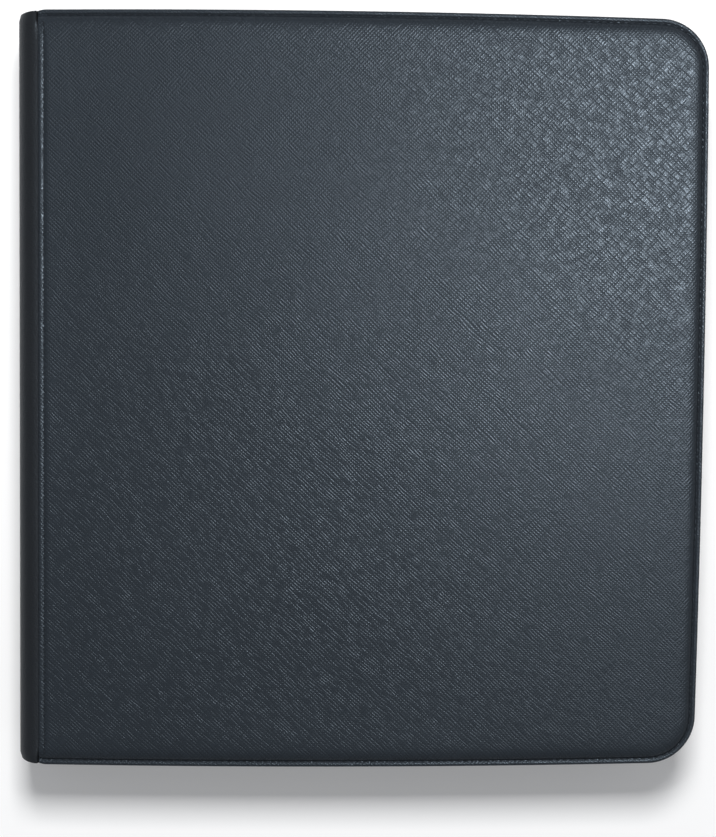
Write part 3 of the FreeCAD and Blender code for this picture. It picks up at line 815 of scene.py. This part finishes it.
def make_wrap(front):
    """Half of the spine wrap: under the panel, round the corner and down to the middle of the spine."""
    radius = sizes().wrap_radius
    centre = Vector((SPINE_X + radius, 0, WRAP_Z + radius))
    bm = bmesh.new()

    def grow(vert, point, steps):
        start = vert.co.copy()
        for index in range(1, steps + 1):
            made = bmesh.ops.extrude_vert_indiv(bm, verts=[vert])
            vert = made["verts"][0]
            vert.co = start.lerp(point, index / steps)
        return vert

    vert = bm.verts.new((SEAM_X + WRAP_UNDERLAP, -WRAP_END, WRAP_Z))
    vert = grow(vert, Vector((centre.x, -WRAP_END, WRAP_Z)), 6)
    made = bmesh.ops.spin(bm, geom=[vert], cent=(centre.x, -WRAP_END, centre.z), axis=(0, 1, 0),
                          dvec=(0, 0, 0), angle=QUARTER, steps=26, use_merge=False, use_duplicate=False)
    vert = only(made["geom_last"], BMVert)[0]
    grow(vert, Vector((SPINE_X, -WRAP_END, MID_Z)), 6)
    edges = list(bm.edges)
    stops = 120
    for _ in range(stops):
        edges = push_edges(bm, edges, Vector((0, 2 * WRAP_END / stops, 0)))

    def inward(point):
        if point.x > centre.x:
            return Vector((0, 0, 1))
        if point.z > centre.z:
            return Vector((1, 0, 0))
        return Vector((centre.x - point.x, 0, centre.z - point.z)).normalized()

    pinch = {}
    for vert in bm.verts:
        near_end = max(0.0, abs(vert.co.y) - (WRAP_END - ROLL_REACH)) / ROLL_REACH
        visible = 1.0 if vert.co.x < SEAM_X + ON_SEAM else 0.0
        pinch[vert] = inward(vert.co) * (ROLL_DEPTH * visible * near_end ** 2.2)
    for vert, shift in pinch.items():
        vert.co += shift
        past = max(0.0, min(1.0, (SEAM_X - vert.co.x) / (SEAM_X - SPINE_X))) ** 2
        near_end = max(0.0, 1 - (WRAP_END - abs(vert.co.y)) / DRAW_REACH)
        vert.co.y -= math.copysign(DRAW_IN * past * near_end, vert.co.y)
    rim = [(near, depth) for near, depth, _ in EDGE_RINGS]
    for vert in bm.verts:
        if vert.co.x > SEAM_X - ON_SEAM:
            under = curve_through(rim, (HALF_H - abs(vert.co.y)) / MM - 1.0) + 0.75
            vert.co.z = max(WRAP_Z, under * MM)
    hem = abs(TAB_LOW[1]) - HEM_REACH

    def inner_side(vert):
        hemmed = min(1.0, max(0.0, abs(vert.co.y) - hem) / HEM_STEP)
        thickness = WRAP_T * (1 + hemmed) if vert.co.x < SEAM_X - ON_SEAM else WRAP_T
        return vert.co + inward(vert.co) * thickness

    thick_sheet(bm, inner_side)
    turned(bm)
    if front:
        flip_to_front(bm)
    obj = to_object(bm, side_of(front) + "_spine_wrap", finish("spine_leatherette"))
    start = (centre.x, 0, WRAP_Z)
    end = (SPINE_X, 0, centre.z)
    if front:
        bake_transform(obj, "spine", "front_cover", start=at_front(end), end=at_front(start))
        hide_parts("front_spine_wing")
    else:
        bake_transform(obj, "back_cover", "spine", start=start, end=end)
        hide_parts("back_spine_wing", "spine_skin")
    return obj


# ---- Stitching ----
def one_stitch():
    """A stitch along X, as a plump spindle of thread."""
    size = sizes()
    bm = bmesh.new()
    shape = Matrix.Diagonal((size.stitch_length / size.thread, 1.0, 0.8, 1.0))
    shape = shape @ Matrix.Rotation(QUARTER, 4, "Y")
    bmesh.ops.create_uvsphere(bm, u_segments=8, v_segments=6, radius=size.thread / 2, matrix=shape)
    return bm


def make_stitching(front):
    """Stitches along the rim, and the topstitching beside the spine. Each thread dips at both ends."""
    size = sizes()
    rim_depth = curve_through([(a, b) for a, b, _ in EDGE_RINGS], size.rim_stitch_inset / MM) * MM
    seam_depth = curve_through(SEAM_RINGS, size.seam_stitch_inset / MM) * MM
    slant = 0.12
    places = []
    for x, y, heading in stations(size.rim_stitch_inset, SEAM_X + 0.0035, size.stitch_pitch):
        x, y = bowed(x, y)
        places.append(Matrix.Translation((x, y, rim_depth - size.thread * 0.3))
                      @ Matrix.Rotation(heading + slant, 4, "Z"))
    reach = HALF_H - 0.0048
    count = int(2 * reach / size.stitch_pitch)
    for index in range(count):
        y = -reach + (index + 0.5) * 2 * reach / count
        places.append(Matrix.Translation((SEAM_X + size.seam_stitch_inset, y, seam_depth - size.thread * 0.3))
                      @ Matrix.Rotation(QUARTER, 4, "Z"))
    bm = bmesh.new()
    copied_to(bm, one_stitch(), places)
    obj = cover_piece(bm, front, "_stitching", "thread", 180)
    return obj


# ---- Lining ----
LINING_INSET = 0.0068  # the lining's corner radius is smaller by this


def make_lining(front):
    """Woven lining glued over the board, with a soft edge."""
    radius = sizes().corner_radius - LINING_INSET
    low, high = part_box("back_lining")
    bm = bmesh.new()
    bmesh.ops.create_grid(bm, x_segments=1, y_segments=1, size=0.5)
    for vert in bm.verts:
        vert.co = Vector((high[0] if vert.co.x > 0 else low[0], high[1] if vert.co.y > 0 else low[1],
                          low[2]))
    round_corners(bm, [vert for vert in bm.verts if vert.co.x > 0], radius, 12)
    top = bmesh.ops.extrude_face_region(bm, geom=list(bm.faces))
    bmesh.ops.translate(bm, verts=only(top["geom"], BMVert), vec=(0, 0, high[2] - low[2]))
    turned(bm)
    rim = [edge for edge in bm.edges if all(vert.co.z > high[2] - 1e-6 for vert in edge.verts)]
    round_off(bm, rim, 0.0003, 2)
    obj = cover_piece(bm, front, "_lining_cloth", "lining")
    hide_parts(side_of(front) + "_lining")
    return obj


# ---- Zip ----
def make_tape(front):
    """Half of the zip's tape: the flange sewn to the rim, and the wall that bulges a little."""
    base, edge = (corner[2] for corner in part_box("back_zip_tape"))
    fold = base + TAPE_T
    rise = edge - fold
    swell = [(0.0, 0.0), (0.12, 0.25), (0.3, 0.55), (0.5, 0.5), (0.7, 0.2), (0.86, 0.0), (0.95, 0.0),
             (1.0, 0.0)]
    outer = [(TAPE_INSET - MM * out, fold + rise * up) for up, out in swell]
    inner = [(TAPE_INSET + TAPE_T - MM * out, fold + rise * up) for up, out in reversed(swell)]
    points = [(HEM_INSET, base), (HEM_INSET, fold), (TAPE_INSET - 0.001, fold)] + outer[1:] + inner
    points += [(TAPE_INSET + TAPE_T, base)]
    bm = bmesh.new()
    round_three_sides(bm, section_loop(bm, points, TAPE_X), TAPE_X)
    ended(bm)
    turned(bm)
    obj = cover_piece(bm, front, "_tape", "zip_tape")
    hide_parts(side_of(front) + "_zip_tape")
    return obj


def make_teeth(front):
    """Half of the zip's teeth along the tape's edge, with heads that mesh with the other half's."""
    side = side_of(front)
    s = sizes()
    low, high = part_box("back_zip_coil")
    depth = TAPE_INSET - (HALF_H - high[1])
    foot, head = low[2], high[2] + 0.0006
    x0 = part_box(side + "_zip_coil")[0][0]
    tail_start = TEETH_START[side]
    bm = bmesh.new()
    shift = s.tooth_pitch / 2 if front else 0.0
    for x, y, heading in stations(TAPE_INSET - depth / 2, TAPE_X, s.tooth_pitch):
        x, y = x + shift * math.cos(heading), y + shift * math.sin(heading)
        if y < 0 and x < tail_start + s.tooth_width / 2 or x < x0 + s.tooth_width / 2:
            continue
        place = Matrix.Translation((x, y, (head + foot) / 2)) @ Matrix.Rotation(heading, 4, "Z")
        add_block(bm, place, (s.tooth_width, depth * 0.98, head - foot))
    round_off(bm, list(bm.edges), 0.00032, 1)
    obj = cover_piece(bm, front, "_teeth", "zip_teeth", 80)
    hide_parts(side + "_zip_coil")
    return obj


def make_end_tabs():
    """Leatherette tabs over the zip's ends."""
    low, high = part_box("zip_end_tabs")
    thickness = 0.0012
    bm = bmesh.new()
    for sign in (-1, 1):
        middle = ((low[0] + high[0]) / 2, sign * (high[1] - thickness / 2), (low[2] + high[2]) / 2)
        add_block(bm, Matrix.Translation(middle), (high[0] - low[0], thickness, high[2] - low[2]))
    round_off(bm, list(bm.edges), 0.0005, 3)
    obj = to_object(bm, "end_tabs", finish("spine_leatherette"), "spine", 60)
    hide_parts("zip_end_tabs")
    return obj


# ---- Page binding ----
STITCH_SUNK = 0.00016  # the threads bite into the cloth, clear of the pages
STITCH_IN = 0.0008  # the rows of stitches, in from the strip's long edges


def make_binding():
    """Woven strip inside the spine with rolled edges, sewn along both sides, that carries the pages."""
    low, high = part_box("page_binding")
    bm = bmesh.new()
    add_block(bm, Matrix.Translation((low + high) / 2), high - low)
    round_off(bm, list(bm.edges), 0.0006, 3)
    places = []
    pitch = sizes().stitch_pitch * 1.3
    for z in (low.z + STITCH_IN, high.z - STITCH_IN):
        for index in range(int((high.y - low.y) / pitch)):
            place = Matrix.Translation((high.x - STITCH_SUNK, low.y + (index + 0.5) * pitch, z))
            places.append(place @ Matrix.Rotation(QUARTER, 4, "Z"))
    copied_to(bm, one_stitch(), places)
    obj = to_object(bm, "binding_strip", finish("page_binding"), "spine")
    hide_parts("page_binding")
    return obj


# ---- Operators ----
class BINDER_OT_covers(bpy.types.Operator):
    """Make the two padded cover panels"""
    bl_idname = "binder.covers"
    bl_label = "Covers"

    def execute(self, context):
        make_cover(False)
        make_cover(True)
        return {"FINISHED"}


class BINDER_OT_spine(bpy.types.Operator):
    """Make the spine wrap that bends at both creases"""
    bl_idname = "binder.spine"
    bl_label = "Spine wrap"

    def execute(self, context):
        make_wrap(False)
        make_wrap(True)
        dress("spine_board", "lining")
        return {"FINISHED"}


class BINDER_OT_stitching(bpy.types.Operator):
    """Sew the rims and the seams beside the spine"""
    bl_idname = "binder.stitching"
    bl_label = "Stitching"

    def execute(self, context):
        make_stitching(False)
        make_stitching(True)
        return {"FINISHED"}


class BINDER_OT_linings(bpy.types.Operator):
    """Line the covers, and finish the boards and foam inside them"""
    bl_idname = "binder.linings"
    bl_label = "Linings"

    def execute(self, context):
        for front in (False, True):
            make_lining(front)
            dress(side_of(front) + "_board", "board")
            dress(side_of(front) + "_foam_pad", "foam")
        return {"FINISHED"}


class BINDER_OT_zip(bpy.types.Operator):
    """Make the zip's tapes, teeth and end tabs, and finish its slider and pull"""
    bl_idname = "binder.zip"
    bl_label = "Zip"

    def execute(self, context):
        for front in (False, True):
            make_tape(front)
            make_teeth(front)
        make_end_tabs()
        for node in ("zip_slider", "zip_pull"):
            obj = dress(node, "zip_metal")
            rounding = obj.modifiers.new("Rounding", "BEVEL")
            rounding.width = 0.00016
            rounding.segments = 2
            rounding.limit_method = "ANGLE"
            rounding.angle_limit = math.radians(50)
        return {"FINISHED"}


class BINDER_OT_pages(bpy.types.Operator):
    """Finish the page sheets, their pocket films and the strip that binds them"""
    bl_idname = "binder.pages"
    bl_label = "Pages"

    def execute(self, context):
        make_binding()
        for number in range(1, PAGE_COUNT + 1):
            dress("page_%02d_sheet" % number, "page_sheet")
            dress("page_%02d_pockets" % number, "page_film")
        return {"FINISHED"}


class BINDER_OT_stage(bpy.types.Operator):
    """Set the floor, the lamps and the camera"""
    bl_idname = "binder.stage"
    bl_label = "Stage"

    def execute(self, context):
        make_floor()
        make_lamps()
        make_camera()
        return {"FINISHED"}


# ---- Stage ----
def camera_sees(tree, others, camera):
    """One shader for camera rays and another for all other rays."""
    path = add_node(tree, "LightPath")
    both = add_node(tree, "MixShader", i0=path.outputs["Is Camera Ray"], i1=others.outputs[0],
                    i2=camera.outputs[0])
    return both.outputs[0]


def make_floor():
    """A pale plain floor that glows a little more with distance, so that only the shadow shows."""
    bm = bmesh.new()
    bmesh.ops.create_grid(bm, x_segments=1, y_segments=1, size=40.0)
    bmesh.ops.translate(bm, verts=bm.verts, vec=(0, 0, -0.0003))
    material = bpy.data.materials.new("floor")
    material.use_nodes = True
    tree = material.node_tree
    tree.nodes.clear()
    diffuse = add_node(tree, "BsdfDiffuse", Color=(0.80, 0.80, 0.80, 1.0))
    reach = add_node(tree, "VectorMath", operation="LENGTH")
    tree.links.new(object_point(tree), reach.inputs[0])
    far = add_node(tree, "MapRange", interpolation_type="SMOOTHSTEP", Value=reach.outputs["Value"],
                   i1=0.26, i2=1.9, i3=0.155, i4=0.78)
    glow = add_node(tree, "Emission", Color=(1.0, 1.0, 1.0, 1.0), Strength=far.outputs[0])
    both = add_node(tree, "AddShader", i0=diffuse.outputs[0], i1=glow.outputs[0])
    out = add_node(tree, "OutputMaterial")
    tree.links.new(camera_sees(tree, diffuse, both), out.inputs["Surface"])
    floor = to_object(bm, "floor", material)


def add_lamp(name, place, target, size_x, size_y, power):
    """A rectangular lamp at a place, facing a target."""
    lamp = bpy.data.lights.new(name, "AREA")
    lamp.energy = power
    lamp.shape = "RECTANGLE"
    lamp.size = size_x
    lamp.size_y = size_y
    obj = bpy.data.objects.new(name, lamp)
    obj.location = place
    obj.rotation_euler = (Vector(target) - Vector(place)).to_track_quat("-Z", "Y").to_euler()
    bpy.context.scene.collection.objects.link(obj)
    return obj


def make_lamps():
    """Soft studio light: a key from the head side, a panel that only glosses show, a pale surround."""
    key = add_lamp("key", (-0.03, 0.90, 1.35), (0, 0, 0), 0.5, 0.46, 29.5)
    key.visible_glossy = False
    sheen = add_lamp("sheen_panel", (0.53, 0.24, 1.30), (0.05, 0.0, 0), 0.28, 0.40, 14.0)
    sheen.visible_diffuse = False
    world = bpy.data.worlds.new("surround")
    world.use_nodes = True
    tree = world.node_tree
    shade = tree.nodes["Background"]
    shade.inputs["Color"].default_value = (0.88, 0.90, 0.94, 1.0)
    shade.inputs["Strength"].default_value = 0.32
    white = add_node(tree, "Background", Color=(1.0, 1.0, 1.0, 1.0), Strength=1.0)
    tree.links.new(camera_sees(tree, shade, white), tree.nodes["World Output"].inputs["Surface"])
    bpy.context.scene.world = world


def make_camera():
    """Nearly straight above the front cover, a little towards the head and the spine."""
    width, sensor = 716.0, 36.0  # what follows is in 716ths of the frame's width
    focal, distance = 2136.6, 1.0
    tilt_x, tilt_y, roll = 0.05254, 0.07469, -0.01033
    away = Vector((-math.sin(tilt_x), math.sin(tilt_y), 1.0)).normalized()
    forward = -away
    right = forward.cross(Vector((math.sin(roll), math.cos(roll), 0))).normalized()
    up = right.cross(forward)
    turn = Matrix((right, up, away)).transposed().to_4x4()
    camera = bpy.data.cameras.new("camera")
    camera.sensor_fit = "HORIZONTAL"
    camera.sensor_width = sensor
    camera.lens = sensor * focal / width
    camera.shift_x = -6.287 / width
    camera.shift_y = -24.18 / width
    camera.clip_start = 0.01
    obj = bpy.data.objects.new("camera", camera)
    obj.matrix_world = Matrix.Translation(Vector((0, 0, THICK)) + away * distance) @ turn
    bpy.context.scene.collection.objects.link(obj)
    bpy.context.scene.camera = obj
    bpy.context.scene.view_settings.view_transform = "Standard"


# ---- Panel and registration ----
STEPS = ("covers", "spine", "stitching", "linings", "zip", "pages", "stage")


class BINDER_PT_panel(bpy.types.Panel):
    """Sizes, colours and the steps that make the binder"""
    bl_idname = "BINDER_PT_panel"
    bl_label = "Card Binder"
    bl_space_type = "VIEW_3D"
    bl_region_type = "UI"
    bl_category = "Binder"

    def draw(self, context):
        for group in (context.scene.binder_sizes, context.scene.binder_colours):
            for name in group.bl_rna.properties.keys():
                if name not in ("rna_type", "name"):
                    self.layout.prop(group, name)
        for step in STEPS:
            self.layout.operator("binder." + step)


CLASSES = (
    BinderSizes, BinderColours, BINDER_OT_covers, BINDER_OT_spine, BINDER_OT_stitching, BINDER_OT_linings,
    BINDER_OT_zip, BINDER_OT_pages, BINDER_OT_stage, BINDER_PT_panel,
)


def register():
    for cls in CLASSES:
        bpy.utils.register_class(cls)
    bpy.types.Scene.binder_sizes = bpy.props.PointerProperty(type=BinderSizes)
    bpy.types.Scene.binder_colours = bpy.props.PointerProperty(type=BinderColours)


def unregister():
    del bpy.types.Scene.binder_colours
    del bpy.types.Scene.binder_sizes
    for cls in reversed(CLASSES):
        bpy.utils.unregister_class(cls)


def main():
    register()
    for step in STEPS:
        getattr(bpy.ops.binder, step)()


if __name__ == "__main__":
    main()
